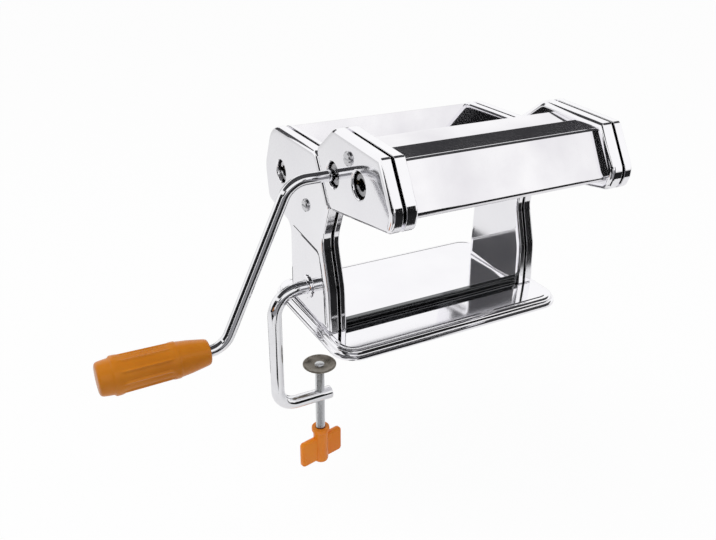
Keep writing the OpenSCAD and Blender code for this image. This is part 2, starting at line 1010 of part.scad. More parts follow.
// Grip: a small end cap, a barrel with broad flutes between two plain rings, and a taper
flutes = 10;
module crank_grip() {
    axis = [narrow_axis[0], narrow_axis[1] - crank_throw];
    r = grip_d / 2;
    from = -grip_out;
    to = -grip_in;
    barrel_from = from + 9.4;
    barrel_to = to - 21;
    ring = 4;
    flute_d = 10.8;
    flute_floor = r - 1.4;
    mouth_d = crank_d + 2.4;
    mouth_depth = 4.6;
    color(amber)
        difference() {
            turned_x(axis, [
                [0, from], [r - 5.5, from], [r - 3.1, from + 0.4], [r - 1.9, from + 2.2],
                [r - 1.2, barrel_from - 1], [r, barrel_from + 0.8], [r - 0.7, barrel_to - 0.8],
                [r - 1.3, barrel_to + 1.2], [r - 3, to - 8], [r - 3.8, to - 3.5], [r - 4.7, to - 0.6],
                [r - 6.2, to], [0, to]
            ]);
            rod_x(axis, from + 5.6, to + 1, crank_d + 2 * running);
            rod_x(axis, to - mouth_depth, to + 1, mouth_d);
            for (k = [0:flutes - 1]) {
                a = k * 360 / flutes;
                rod_x(axis + (flute_floor + flute_d / 2) * [cos(a), sin(a)],
                    barrel_from + ring, barrel_to - ring, flute_d);
            }
        }
}

// Clamp
sleeve_d = 15.2;
module clamp_sleeve() {
    at = [clamp_y, clamp_z];
    collar_d = sleeve_d + 3;
    color(steel)
        difference() {
            union() {
                rod_x(at, -body_face - 1.4, -frame_back - touch, sleeve_d);
                rod_x(at, -body_face - 1.4, -body_face - touch, collar_d);
            }
            rod_x(at, -body_face - 2, -frame_back, clamp_d + 2 * running);
        }
}

module clamp_rod() {
    upper_x = -clamp_x + clamp_bend_top;
    lower_x = -clamp_x + clamp_bend_low;
    color(steel)
        translate([0, clamp_y, 0])
            difference() {
                union() {
                    rod_x([0, clamp_z], upper_x, -clamp_tip, clamp_d);
                    rod_bend(upper_x, clamp_z - clamp_bend_top, clamp_bend_top, 90, 90, clamp_d);
                    translate([-clamp_x, 0, clamp_low_z + clamp_bend_low])
                        cylinder(d = clamp_d, h = clamp_drop - clamp_bend_low - clamp_bend_top);
                    rod_bend(lower_x, clamp_low_z + clamp_bend_low, clamp_bend_low, 180, 90, clamp_d);
                    rod_x([0, clamp_low_z], lower_x, -clamp_arm_end, clamp_d);
                }
                translate([-clamp_screw_x, 0, clamp_low_z - clamp_d])
                    cylinder(d = clamp_screw_d + 4 * running, h = 2 * clamp_d);
            }
}

module at_clamp_screw() {
    translate([-clamp_screw_x, clamp_y, 0]) children();
}

screw_neck_d = 5;
module clamp_screw() {
    shoulder = pad_top - pad_h - touch;
    color(zinc)
        at_clamp_screw() {
            translate([0, 0, knob_top - 20]) cylinder(d = clamp_screw_d, h = shoulder - knob_top + 20);
            translate([0, 0, shoulder - 1]) cylinder(d = screw_neck_d, h = pad_top - shoulder);
            translate([0, 0, pad_top - pad_dish + touch]) cylinder(d = screw_neck_d + 3, h = 0.9);
        }
}

module clamp_pad() {
    r = pad_d / 2;
    color(zinc)
        at_clamp_screw()
            difference() {
                rotate_extrude()
                    polygon([
                        [0, pad_top - pad_h], [r - 5, pad_top - pad_h], [r, pad_top - 1.4],
                        [r, pad_top], [r - 1.4, pad_top], [r - 5.4, pad_top - pad_dish], [0, pad_top - pad_dish]
                    ]);
                translate([0, 0, pad_top - pad_h - 1])
                    cylinder(d = screw_neck_d + 2 * running, h = pad_h + 2);
            }
}

// Wing knob: a hub with a collar and two flat wings
module clamp_knob() {
    hub_d = 12.4;
    collar_d = 15;
    wing_t = 5.2;
    wing_low = -knob_h + 2;
    wing_high = -9.6;
    half = wing_span / 2;
    color(amber)
        at_clamp_screw()
            translate([0, 0, knob_top])
                rotate([0, 0, knob_turn])
                    difference() {
                        union() {
                            translate([0, 0, -knob_h]) cylinder(d = hub_d, h = knob_h);
                            translate([0, 0, -4.5]) cylinder(d = collar_d, h = 4);
                            rotate([90, 0, 0])
                                translate([0, 0, -wing_t / 2])
                                    linear_extrude(wing_t)
                                        wing_shape(half, wing_low, wing_high);
                        }
                        translate([0, 0, -20 - touch])
                            cylinder(d = clamp_screw_d + 2 * snug, h = 21);
                    }
}

module wing_shape(half, low, high) {
    tip = 3;
    polygon([[-half + tip, high], [half - tip, high], [half, high - tip], [half, low + tip],
        [half - tip, low], [-half + tip, low], [-half, low + tip], [-half, high - tip]]);
    for (s = [-1, 1], z = [high - tip, low + tip])
        translate([s * (half - tip), z]) circle(r = tip);
}

base_tray();
rubber_feet();
leg_screws();
front_tie_bar();
left_frame();
right_frame();
left_cover();
right_cover();
tie_rods();
cover_screws();
frame_screws();
hopper_rear_panel();
hopper_front_panel();
rear_scraper();
front_scraper();
head_rails();
roller_bushes();
rear_roller();
front_roller();
rear_roller_gear();
front_roller_gear();
bearing_blocks();
adjuster_shaft();
dial_plate();
adjuster_knob();
knob_spring();
knob_screw();
knob_cap();
head_left_frame();
head_right_frame();
head_left_cover();
head_right_cover();
head_front_panel();
head_guide_plate();
head_rear_panel();
head_tie_rod();
head_screws();
cutter_bushes();
narrow_cutter_driver();
narrow_cutter_mate();
narrow_driver_gear();
narrow_mate_gear();
wide_cutter_driver();
wide_cutter_mate();
wide_driver_gear();
wide_mate_gear();
narrow_combs();
wide_combs();
crank_rod();
crank_pin();
crank_grip();
clamp_sleeve();
clamp_rod();
clamp_screw();
clamp_pad();
clamp_knob();
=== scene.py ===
import math

import bmesh
import bpy
from mathutils import Matrix, Vector


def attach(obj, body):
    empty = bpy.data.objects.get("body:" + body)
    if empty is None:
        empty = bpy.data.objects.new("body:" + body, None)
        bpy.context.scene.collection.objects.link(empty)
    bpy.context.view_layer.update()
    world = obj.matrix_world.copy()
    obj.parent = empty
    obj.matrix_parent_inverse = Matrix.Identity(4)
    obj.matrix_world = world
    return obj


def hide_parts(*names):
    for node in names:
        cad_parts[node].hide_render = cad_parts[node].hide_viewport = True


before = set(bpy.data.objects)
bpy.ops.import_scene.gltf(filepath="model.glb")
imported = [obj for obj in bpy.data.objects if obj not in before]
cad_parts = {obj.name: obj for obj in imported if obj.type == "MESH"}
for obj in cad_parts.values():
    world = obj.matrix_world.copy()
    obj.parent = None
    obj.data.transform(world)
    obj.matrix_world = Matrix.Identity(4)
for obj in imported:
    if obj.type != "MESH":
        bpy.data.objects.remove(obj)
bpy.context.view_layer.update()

MM = 0.001
QUARTER_TURN = math.radians(90)
FULL_TURN = math.tau

# Side planes of the machine, as distances from its middle, in millimetres
BODY_FRAME_FACE = 79.0
HEAD_FRAME_FACE = 75.0
BODY_COVER_FACE = 94.0
HEAD_COVER_FACE = 93.5
FRAME_RIM = 83.9
COVER_RIM = 86.1

# Sheets: thickness, play of the panels, the round where a side turns into its flange, and the rim
SIDE_SHEET = 1.2
PANEL_SHEET = 1.0
PANEL_PLAY = 0.1
EDGE_ROUND = 4.2
FLANGE_SHARE = 0.3
LIP = 0.4
RETURN_FLANGE = 4.0
CORNER_SOFT = 1.0

# Base tray, with its rolled rim as height and inset from the outline
BASE_TOP = 8.0
BASE_HALF_WIDTH = 99.7
BASE_HALF_DEPTH = 65.7
BASE_CORNER = 18.0
BASE_LIP = 0.6
BASE_LIP_TOP = 1.6
BASE_RIM = [
    (3.0, 0.0), (3.5, 0.15), (3.85, 0.55), (4.05, 1.1), (4.2, 1.7), (4.6, 2.0), (6.2, 2.1), (6.9, 2.35),
    (7.4, 2.8), (7.7, 3.4), (7.9, 4.2), (8.0, 5.0), (7.9, 5.6), (7.7, 6.1), (7.7, 6.9), (7.9, 7.4), (8.0, 8.0)
]

# The slanted joint between the body and the cutter head
JOINT_Y = -14.5
JOINT_Z = 139.0
JOINT_TILT = math.radians(30)
JOINT_HALF_GAP = 0.25

# Axes across the machine, as y and z, and the holes round them
ROLLER_SOCKET = (47.9, 107.4)
FRONT_ROLLER = (18.15, 107.4)
NARROW_SOCKET = (-39.8, 131.5)
WIDE_SOCKET = (-75.7, 135.7)
COVER_SCREW = (2.4, 96.0)
HEAD_SCREW = (-62.8, 149.1)
CLAMP_HOLE = (3.6, 30.0)
ADJUSTER = (18.148, 80.0)
SOCKET_HOLE = 17.4
SCREW_HOLE = 4.3
REAR_BEARING_HOLE = 18.0
FRONT_BEARING_HOLE = 16.0
ADJUSTER_HOLE = 8.1
ADJUSTER_COVER_HOLE = 8.6
SLEEVE = 15.2
COLLAR_ROUND = 1.5
COLLAR_DEPTH = 2.0

# Crank and clamp rods
CRANK_ROD = 8.0
CRANK_TIP = 78.5
CRANK_CORNER = 123.4
CRANK_LEAN = math.radians(25.24)
CRANK_THROW = 108.4
CRANK_UPPER_BEND = 18.0
CRANK_LOWER_BEND = 16.0
GRIP_IN = 185.0
GRIP_OUT = 257.0
GRIP_END_WALL = 6.0
CRANK_END_ROUND = 0.8
CLAMP_ROD = 10.5
CLAMP_TIP = 81.0
CLAMP_X = 121.4
CLAMP_LOW = -72.0
CLAMP_UPPER_BEND = 20.0
CLAMP_LOWER_BEND = 15.5
CLAMP_END = 75.0
CLAMP_END_ROUND = 1.0

# Clamp screw, its pad and its knob
SCREW_X = -85.0
PAD_TOP = -41.5
KNOB_TOP = -104.0
KNOB_TURN = math.radians(12)


def joint_at(z, shift):
    """Distance along y of the slanted joint at a height, moved square to it by shift."""
    return JOINT_Y + (z - JOINT_Z) * math.tan(JOINT_TILT) + shift / math.cos(JOINT_TILT)


# Outlines seen from the side, as y, z and corner radius
BODY_OUTLINE = [
    (joint_at(106.5, JOINT_HALF_GAP), 106.5, 5.4),
    (-20.5, 76.0, 22.0),
    (-31.5, 40.0, 40.0),
    (-33.5, BASE_TOP, 0.0),
    (35.5, BASE_TOP, 0.0),
    (34.0, 69.5, 8.0),
    (77.0, 76.5, 6.0),
    (82.0, 104.0, 20.0),
    (66.0, 140.0, 22.0),
    (joint_at(140.0, JOINT_HALF_GAP), 140.0, 6.0),
]
HEAD_OUTLINE = [
    (joint_at(142.0, -JOINT_HALF_GAP), 142.0, 6.0),
    (-41.0, 163.0, 10.0),
    (-100.8, 159.8, 0.0),
    (-118.8, 130.0, 12.0),
    (-114.5, 117.5, 6.5),
    (joint_at(105.0, -JOINT_HALF_GAP), 105.0, 5.4),
]
LEG_PANEL = [
    (29.3, 12.0, 1.0),
    (28.8, 60.0, 4.0),
    (30.0, 71.2, 3.0),
    (-16.5, 66.9, 5.0),
    (-20.5, 58.0, 12.0),
    (-25.3, 38.0, 20.0),
    (-27.6, 12.0, 1.0),
]
LEG_PANEL_DEPTH = 0.35
LEG_PANEL_SLOPE = 1.6
TIE_BAR = [(-30.9, 8.5, 0.6), (-25.2, 8.5, 0.6), (-25.2, 13.9, 0.6), (-29.7, 13.9, 0.6)]

# Folded panels as y and z
HOPPER_REAR = [(51.2, 121.9), (57.6, 137.2), (61.4, 136.2), (75.2, 105.4), (74.6, 101.6)]
HOPPER_FRONT = [(-20.0, 104.4), (-26.0, 106.6), (-8.6, 136.4), (3.6, 136.4), (20.6, 124.0)]
HEAD_FRONT = [
    (-107.6, 123.4), (-110.4, 122.6), (-112.4, 125.8), (-95.4, 155.4), (-92.6, 155.2), (-87.4, 147.0)
]
HEAD_GUIDE = [(-80.8, 147.0), (-74.6, 155.8), (-54.4, 158.0), (-51.4, 144.6)]
HEAD_REAR = [(-42.2, 144.4), (-25.4, 139.0), (-22.6, 137.0), (-36.6, 112.6)]


# Materials

NOISE_LOW = 0.3
NOISE_HIGH = 0.7
MARK_SHADE = 0.82


def new_material(name):
    """A material with its shader and object coordinates at hand."""
    material = bpy.data.materials.new(name)
    material.use_nodes = True
    nodes = material.node_tree.nodes
    shader = nodes["Principled BSDF"]
    coordinates = nodes.new("ShaderNodeTexCoord").outputs["Object"]
    return material, nodes, material.node_tree.links, shader, coordinates


def stretched(nodes, links, coordinates, scale):
    """Object coordinates scaled unevenly, for streaks that run one way."""
    mapping = nodes.new("ShaderNodeMapping")
    mapping.inputs["Scale"].default_value = scale
    links.new(coordinates, mapping.inputs["Vector"])
    return mapping.outputs["Vector"]


def cloud(nodes, links, vector, scale, detail):
    """Noise over a vector."""
    noise = nodes.new("ShaderNodeTexNoise")
    noise.inputs["Scale"].default_value = scale
    noise.inputs["Detail"].default_value = detail
    links.new(vector, noise.inputs["Vector"])
    return noise.outputs["Fac"]


def spread(nodes, links, value, low, high):
    """Maps noise to a range of values."""
    mapped = nodes.new("ShaderNodeMapRange")
    mapped.inputs["From Min"].default_value = NOISE_LOW
    mapped.inputs["From Max"].default_value = NOISE_HIGH
    mapped.inputs["To Min"].default_value = low
    mapped.inputs["To Max"].default_value = high
    links.new(value, mapped.inputs["Value"])
    return mapped.outputs["Result"]


def tint(nodes, links, value, first, second):
    """Colour between two tones."""
    ramp = nodes.new("ShaderNodeValToRGB")
    ramp.color_ramp.elements[0].color = (*first, 1)
    ramp.color_ramp.elements[1].color = (*second, 1)
    ramp.color_ramp.elements[0].position = NOISE_LOW
    ramp.color_ramp.elements[1].position = NOISE_HIGH
    links.new(value, ramp.inputs["Fac"])
    return ramp.outputs["Color"]


def relief(nodes, links, shader, value, strength, distance):
    """Fine surface relief from noise."""
    bump = nodes.new("ShaderNodeBump")
    bump.inputs["Strength"].default_value = strength
    bump.inputs["Distance"].default_value = distance
    links.new(value, bump.inputs["Height"])
    links.new(bump.outputs["Normal"], shader.inputs["Normal"])


def polished_chrome(name, dull, bright):
    """Mirror polish with a slow haze between two tones."""
    material, nodes, links, shader, coordinates = new_material(name)
    shader.inputs["Metallic"].default_value = 1
    haze = cloud(nodes, links, coordinates, scale=22, detail=4)
    links.new(tint(nodes, links, haze, dull, bright), shader.inputs["Base Color"])
    links.new(spread(nodes, links, haze, low=0.05, high=0.09), shader.inputs["Roughness"])
    ripple = cloud(nodes, links, coordinates, scale=60, detail=2)
    relief(nodes, links, shader, ripple, strength=0.04, distance=0.0002)
    return material


def rod_chrome(name, dull, bright):
    """Smooth bar or rod with a faint haze between two tones."""
    material, nodes, links, shader, coordinates = new_material(name)
    shader.inputs["Metallic"].default_value = 1
    haze = cloud(nodes, links, coordinates, scale=90, detail=3)
    links.new(tint(nodes, links, haze, dull, bright), shader.inputs["Base Color"])
    links.new(spread(nodes, links, haze, low=0.06, high=0.12), shader.inputs["Roughness"])
    return material


def inner_steel_painted_shade():
    """Inside of the pressed sheets: rough like unpolished steel, with a near-black tone that is painted shade
    for the gaps between sheets.
    """
    material, nodes, links, shader, coordinates = new_material("inner_steel_painted_shade")
    shader.inputs["Metallic"].default_value = 1
    stain = cloud(nodes, links, coordinates, scale=70, detail=5)
    grey = tint(nodes, links, stain, (0.05, 0.05, 0.052), (0.1, 0.1, 0.105))
    links.new(grey, shader.inputs["Base Color"])
    links.new(spread(nodes, links, stain, low=0.4, high=0.6), shader.inputs["Roughness"])
    return material


def ground_steel(name, tone, scale):
    """Steel with fine marks that are stretched by an uneven scale."""
    material, nodes, links, shader, coordinates = new_material(name)
    shader.inputs["Metallic"].default_value = 1
    marks = cloud(nodes, links, stretched(nodes, links, coordinates, scale), scale=30, detail=5)
    darker = tuple(MARK_SHADE * c for c in tone)
    links.new(tint(nodes, links, marks, darker, tone), shader.inputs["Base Color"])
    links.new(spread(nodes, links, marks, low=0.2, high=0.34), shader.inputs["Roughness"])
    relief(nodes, links, shader, marks, strength=0.08, distance=0.0001)
    return material


def zinc_plate():
    material, nodes, links, shader, coordinates = new_material("zinc_plate")
    shader.inputs["Metallic"].default_value = 1
    stain = cloud(nodes, links, coordinates, scale=160, detail=6)
    zinc = tint(nodes, links, stain, (0.13, 0.115, 0.09), (0.32, 0.29, 0.25))
    links.new(zinc, shader.inputs["Base Color"])
    links.new(spread(nodes, links, stain, low=0.24, high=0.42), shader.inputs["Roughness"])
    grain = cloud(nodes, links, coordinates, scale=500, detail=3)
    relief(nodes, links, shader, grain, strength=0.12, distance=0.0001)
    return material


def bearing_brass():
    material, nodes, links, shader, coordinates = new_material("bearing_brass")
    shader.inputs["Metallic"].default_value = 1
    marks = cloud(nodes, links, stretched(nodes, links, coordinates, (12, 1, 1)), scale=120, detail=4)
    brass = tint(nodes, links, marks, (0.62, 0.46, 0.2), (0.78, 0.62, 0.32))
    links.new(brass, shader.inputs["Base Color"])
    links.new(spread(nodes, links, marks, low=0.25, high=0.4), shader.inputs["Roughness"])
    return material


def amber_plastic(name, deep, bright):
    """Moulded plastic with a slow drift between two tones."""
    material, nodes, links, shader, coordinates = new_material(name)
    flow = cloud(nodes, links, coordinates, scale=35, detail=3)
    links.new(tint(nodes, links, flow, deep, bright), shader.inputs["Base Color"])
    links.new(spread(nodes, links, flow, low=0.24, high=0.34), shader.inputs["Roughness"])
    shader.inputs["Specular IOR Level"].default_value = 0.3
    shader.inputs["Subsurface Weight"].default_value = 0.15
    shader.inputs["Subsurface Radius"].default_value = (0.006, 0.003, 0.001)
    return material


def black_plastic():
    material, nodes, links, shader, coordinates = new_material("black_plastic")
    grain = cloud(nodes, links, coordinates, scale=700, detail=3)
    black = tint(nodes, links, grain, (0.016, 0.016, 0.018), (0.03, 0.03, 0.032))
    links.new(black, shader.inputs["Base Color"])
    links.new(spread(nodes, links, grain, low=0.3, high=0.42), shader.inputs["Roughness"])
    relief(nodes, links, shader, grain, strength=0.1, distance=0.0001)
    return material


def foot_rubber():
    material, nodes, links, shader, coordinates = new_material("foot_rubber")
    grain = cloud(nodes, links, coordinates, scale=900, detail=4)
    black = tint(nodes, links, grain, (0.02, 0.02, 0.02), (0.045, 0.045, 0.045))
    links.new(black, shader.inputs["Base Color"])
    links.new(spread(nodes, links, grain, low=0.65, high=0.85), shader.inputs["Roughness"])
    return material


CHROME = polished_chrome("polished_chrome", (0.92, 0.912, 0.94), (0.96, 0.955, 0.975))
PANEL_CHROME = polished_chrome("panel_chrome", (0.8, 0.785, 0.82), (0.96, 0.95, 0.97))
ROD = rod_chrome("rod_chrome", (0.84, 0.84, 0.86), (0.9, 0.9, 0.92))
# Front tie bar: polished chrome toned near black, a painted dark reflection of the surroundings
DARK_REFLECTION_BAR = rod_chrome("bar_painted_dark_reflection", (0.14, 0.145, 0.15), (0.18, 0.185, 0.19))
# Inner faces and rims of the sheets: near-black steel as painted shade in the gaps between sheets
INNER_SHADE = inner_steel_painted_shade()
ROLLER_STEEL = ground_steel("roller_steel", (0.8, 0.8, 0.81), (40, 1, 1))
GEAR_STEEL = ground_steel("gear_steel", (0.46, 0.46, 0.48), (3, 3, 3))
# Cutters and combs: steel toned darker than it is, as painted shade inside the cutter head
SHADED_CUTTER_STEEL = ground_steel("cutter_steel_painted_shade", (0.42, 0.42, 0.43), (40, 1, 1))
SHADED_COMB_STEEL = ground_steel("comb_steel_painted_shade", (0.24, 0.24, 0.25), (1, 20, 20))
SCRAPER_STEEL = ground_steel("scraper_steel", (0.66, 0.66, 0.68), (1, 20, 20))
SCREW_STEEL = ground_steel("screw_steel", (0.74, 0.75, 0.76), (10, 10, 1))
COVER_SCREW_STEEL = ground_steel("cover_screw_steel", (0.76, 0.76, 0.78), (10, 2, 2))
ZINC = zinc_plate()
BRASS = bearing_brass()
# Grip and knob are one amber plastic: the grip's darker tones are painted shade, the knob's brighter tones
# painted light
SHADED_GRIP_AMBER = amber_plastic("grip_amber_painted_shade", (0.55, 0.17, 0.007), (0.66, 0.22, 0.011))
LIT_KNOB_AMBER = amber_plastic("knob_amber_painted_light", (0.96, 0.26, 0.012), (0.99, 0.32, 0.02))
BLACK = black_plastic()
RUBBER = foot_rubber()


# Shaping helpers

SHARP_ANGLE = math.radians(32)
FLAT_RATIO = 4


def new_object(name, bm, material):
    """Object at the origin with a finished mesh and its material."""
    mesh = bpy.data.meshes.new(name)
    bm.to_mesh(mesh)
    bm.free()
    mesh.materials.append(material)
    made = bpy.data.objects.new(name, mesh)
    bpy.context.collection.objects.link(made)
    return made


def add_piece(name, bm, material, body, replaced=(), wall=0.0):
    """Finishes a mesh as a piece of the machine that moves with a body."""
    bmesh.ops.recalc_face_normals(bm, faces=bm.faces[:])
    for face in bm.faces:
        face.smooth = True
    for edge in bm.edges:
        if len(edge.link_faces) != 2 or edge.calc_face_angle(0) > SHARP_ANGLE:
            edge.smooth = False
    piece = new_object(name, bm, material)
    if wall:
        thicken = piece.modifiers.new("wall", "SOLIDIFY")
        thicken.thickness = wall * MM
        thicken.offset = -1
        thicken.use_even_offset = True
    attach(piece, body)
    if replaced:
        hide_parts(*replaced)
    return piece


def circle_edges(bm, diameter, segments, place):
    """Edges of a circle put in place."""
    made = bmesh.ops.create_circle(bm, cap_ends=False, segments=segments, radius=diameter / 2 * MM,
                                   matrix=place)
    return list({edge for vert in made["verts"] for edge in vert.link_edges})


def grow_edges(bm, edges):
    """Extrudes edges; returns the new verts and the edges between them."""
    grown = bmesh.ops.extrude_edge_only(bm, edges=edges)["geom"]
    verts = [g for g in grown if isinstance(g, bmesh.types.BMVert)]
    ends = set(verts)
    return verts, [g for g in grown if isinstance(g, bmesh.types.BMEdge) and ends.issuperset(g.verts)]


def raise_face(bm, face, height, keep=False):
    """Extrudes a flat face along z; returns the raised face."""
    raised = bmesh.ops.extrude_face_region(bm, geom=[face], use_keep_orig=keep)["geom"]
    top = next(g for g in raised if isinstance(g, bmesh.types.BMFace))
    bmesh.ops.translate(bm, verts=top.verts[:], vec=(0, 0, height * MM))
    return top


def join(bm, other):
    """Adds another mesh to a mesh and frees it."""
    passed = bpy.data.meshes.new("passed")
    other.to_mesh(passed)
    other.free()
    bm.from_mesh(passed)
    bpy.data.meshes.remove(passed)


def rectangle(low, high, radius):
    """Corners of a rectangle between two opposite ones, all with the same radius."""
    spots = ((high[0], low[1]), high, (low[0], high[1]), low)
    return [(u, v, radius) for u, v in spots]


def corner_reach(corners, i):
    """How far a corner's rounding reaches along its two edges."""
    before = Vector(corners[i - 1][:2])
    here = Vector(corners[i][:2])
    after = Vector(corners[(i + 1) % len(corners)][:2])
    turn = (here - before).angle(after - here)
    return corners[i][2] * math.tan(turn / 2)


def rounded_face(bm, corners, height):
    """Flat face with rounded corners."""
    verts = [bm.verts.new((u * MM, v * MM, height * MM)) for u, v, _ in corners]
    bm.faces.new(verts)
    for i, vert in enumerate(verts):
        if corners[i][2]:
            bmesh.ops.bevel(bm, geom=[vert], offset=corner_reach(corners, i) * MM, offset_type="OFFSET",
                            affect="VERTICES", segments=8, profile=0.5, material=-1)
    bm.faces.ensure_lookup_table()
    return bm.faces[-1]


def inset_rings(bm, face, rings):
    """Steps a flat face inwards through rings of height and inset."""
    for (low, out), (high, inner) in zip(rings, rings[1:]):
        bmesh.ops.inset_region(bm, faces=[face], thickness=(inner - out) * MM,
                               use_boundary=True, use_even_offset=True)
        bmesh.ops.translate(bm, verts=face.verts[:], vec=(0, 0, (high - low) * MM))


def pressed_pan(bm, corners, lip, rings):
    """Open pan raised from an outline: a lip turned in at its rim, a wall, and a rounded edge."""
    rim_face = rounded_face(bm, corners, lip[0][0])
    face = raise_face(bm, rim_face, rings[0][0] - lip[0][0], keep=True)
    inset_rings(bm, face, rings)
    inset_rings(bm, rim_face, lip)
    bmesh.ops.delete(bm, geom=[rim_face], context="FACES_ONLY")
    return face


def quarter_round(start, reach, inset, steps):
    """Rings of a rounded edge that starts at a height, reaches on from it and turns in by an inset."""
    angles = [QUARTER_TURN * k / steps for k in range(steps + 1)]
    return [(start + reach * math.sin(angle), inset * (1 - math.cos(angle))) for angle in angles]


def side_rings(face, rim):
    """Lip at the rim and rounded edge of a side pan."""
    inward = math.copysign(1, rim - face)
    lip = quarter_round(rim - inward * LIP, inward * LIP, LIP, steps=4)
    lip.append((rim, LIP + RETURN_FLANGE))
    bend = face + FLANGE_SHARE * (rim - face)
    return lip, quarter_round(bend, face - bend, EDGE_ROUND, steps=7)


def hole_ring(bm, at, diameter, height):
    """Edges of a round hole in a flat face."""
    place = Matrix.Translation((at[0] * MM, at[1] * MM, height * MM))
    return circle_edges(bm, diameter, segments=48, place=place)


def keep_flat(face):
    """Marks the border of a flat face as sharp, so that its shading stays flat."""
    for edge in face.edges:
        edge.smooth = False


def hold_flats(bm):
    """Marks the edges between a broad face and a much smaller one as sharp, to keep broad faces flat."""
    for edge in bm.edges:
        areas = sorted(face.calc_area() for face in edge.link_faces)
        if len(areas) == 2 and areas[1] > FLAT_RATIO * areas[0]:
            edge.smooth = False


def turn_in(bm, ring, at, radius, inward):
    """Turns the edge of a hole inwards over a small round, down to a straight collar."""
    axis = Matrix.Translation((-at[0] * MM, -at[1] * MM, 0))
    curve = quarter_round(0, COLLAR_ROUND, COLLAR_ROUND, steps=5)
    steps = [(COLLAR_ROUND - inset, COLLAR_ROUND - reach) for reach, inset in reversed(curve)]
    steps.append((steps[-1][0], steps[-1][1] + COLLAR_DEPTH))
    for (near, high), (far, low) in zip(steps, steps[1:]):
        verts, ring = grow_edges(bm, ring)
        scale = (radius + COLLAR_ROUND - far) / (radius + COLLAR_ROUND - near)
        bmesh.ops.scale(bm, vec=(scale, scale, 1), space=axis, verts=verts)
        bmesh.ops.translate(bm, verts=verts, vec=(0, 0, inward * (low - high) * MM))


def pierce(bm, face, loops):
    """Fills a flat face again, leaving out the inside of each loop of edges."""
    keep_flat(face)
    border = list(face.edges)
    bmesh.ops.delete(bm, geom=[face], context="FACES_ONLY")
    bmesh.ops.triangle_fill(bm, use_beauty=True, use_dissolve=False, edges=border + loops)


def sunk_panel(bm, height, inward, hole):
    """Leg panel pressed a little into the cover; returns its border for the fill around it."""
    panel = rounded_face(bm, LEG_PANEL, height)
    border = list(panel.edges)
    bmesh.ops.inset_region(bm, faces=[panel], thickness=LEG_PANEL_SLOPE * MM,
                           use_boundary=True, use_even_offset=True)
    bmesh.ops.translate(bm, verts=panel.verts[:], vec=(0, 0, inward * LEG_PANEL_DEPTH * MM))
    keep_flat(panel)
    if hole:
        pierce(bm, panel, hole_ring(bm, CLAMP_HOLE, SLEEVE, height + inward * LEG_PANEL_DEPTH))
    return border


def to_side(bm, sign):
    """Turns a pan drawn in y and z, with its height as distance from the middle, to one side."""
    place = Matrix(((0, 0, sign, 0), (1, 0, 0, 0), (0, 1, 0, 0), (0, 0, 0, 1)))
    bmesh.ops.transform(bm, matrix=place, verts=bm.verts[:])


def side_pan(name, outline, face, rim, sign, holes, body, sockets=(), panel_hole=None):
    """Pressed side sheet with plain holes, collared socket holes and a sunk leg panel where it has one."""
    bm = bmesh.new()
    flat = pressed_pan(bm, outline, *side_rings(face, rim))
    loops = []
    for at, diameter in holes:
        loops += hole_ring(bm, at, diameter, face)
    collars = [(at, hole_ring(bm, at, SOCKET_HOLE + 2 * COLLAR_ROUND, face)) for at in sockets]
    for at, ring in collars:
        loops += ring
    if panel_hole is not None:
        loops += sunk_panel(bm, face, -1, panel_hole)
    pierce(bm, flat, loops)
    for at, ring in collars:
        turn_in(bm, ring, at, SOCKET_HOLE / 2, -1)
    soften(bm, CORNER_SOFT)
    to_side(bm, sign)
    hold_flats(bm)
    piece = add_piece("smooth_" + name, bm, CHROME, body, replaced=(name,), wall=SIDE_SHEET)
    # Inner faces and rims take the near-black inner steel, painted shade for the gaps between sheets
    piece.data.materials.append(INNER_SHADE)
    piece.modifiers["wall"].material_offset = 1
    piece.modifiers["wall"].material_offset_rim = 1


def folded_panel(name, line, half, body, flip, fold=1.2):
    """Sheet folded along lines parallel to the rollers; flip is the side on which it gets its thickness."""
    bm = bmesh.new()
    verts = [bm.verts.new((-half * MM, y * MM, z * MM)) for y, z in line]
    edges = [bm.edges.new(pair) for pair in zip(verts, verts[1:])]
    moved = grow_edges(bm, edges)[0]
    bmesh.ops.translate(bm, verts=moved, vec=(2 * half * MM, 0, 0))
    folds = [e for e in bm.edges if len(e.link_faces) == 2]
    if fold:
        bmesh.ops.bevel(bm, geom=folds, offset=fold * MM, offset_type="OFFSET", affect="EDGES",
                        segments=5, profile=0.5, material=-1)
    bmesh.ops.recalc_face_normals(bm, faces=bm.faces[:])
    hold_flats(bm)
    piece = add_piece("smooth_" + name, bm, PANEL_CHROME, body, replaced=(name,), wall=PANEL_SHEET)
    piece.modifiers["wall"].offset = flip
    return piece


def turned(bm, profile, place, steps=64):
    """Turns a profile of radius and height round an axis and puts it in place."""
    verts = [bm.verts.new((radius * MM, 0, height * MM)) for radius, height in profile]
    edges = [bm.edges.new(pair) for pair in zip(verts, verts[1:])]
    bmesh.ops.spin(bm, geom=verts + edges, cent=(0, 0, 0), axis=(0, 0, 1), dvec=(0, 0, 0),
                   angle=FULL_TURN, steps=steps, use_merge=True, use_duplicate=False)
    bmesh.ops.remove_doubles(bm, verts=bm.verts[:], dist=0.00001)
    bmesh.ops.transform(bm, matrix=place, verts=bm.verts[:])


def along_x(y, z):
    """Placement of a turned piece whose axis runs along x."""
    return Matrix.Translation((0, y * MM, z * MM)) @ Matrix.Rotation(QUARTER_TURN, 4, "Y")


def upright(x, y, z=0.0):
    """Placement of a turned piece whose axis runs up."""
    return Matrix.Translation((x * MM, y * MM, z * MM))


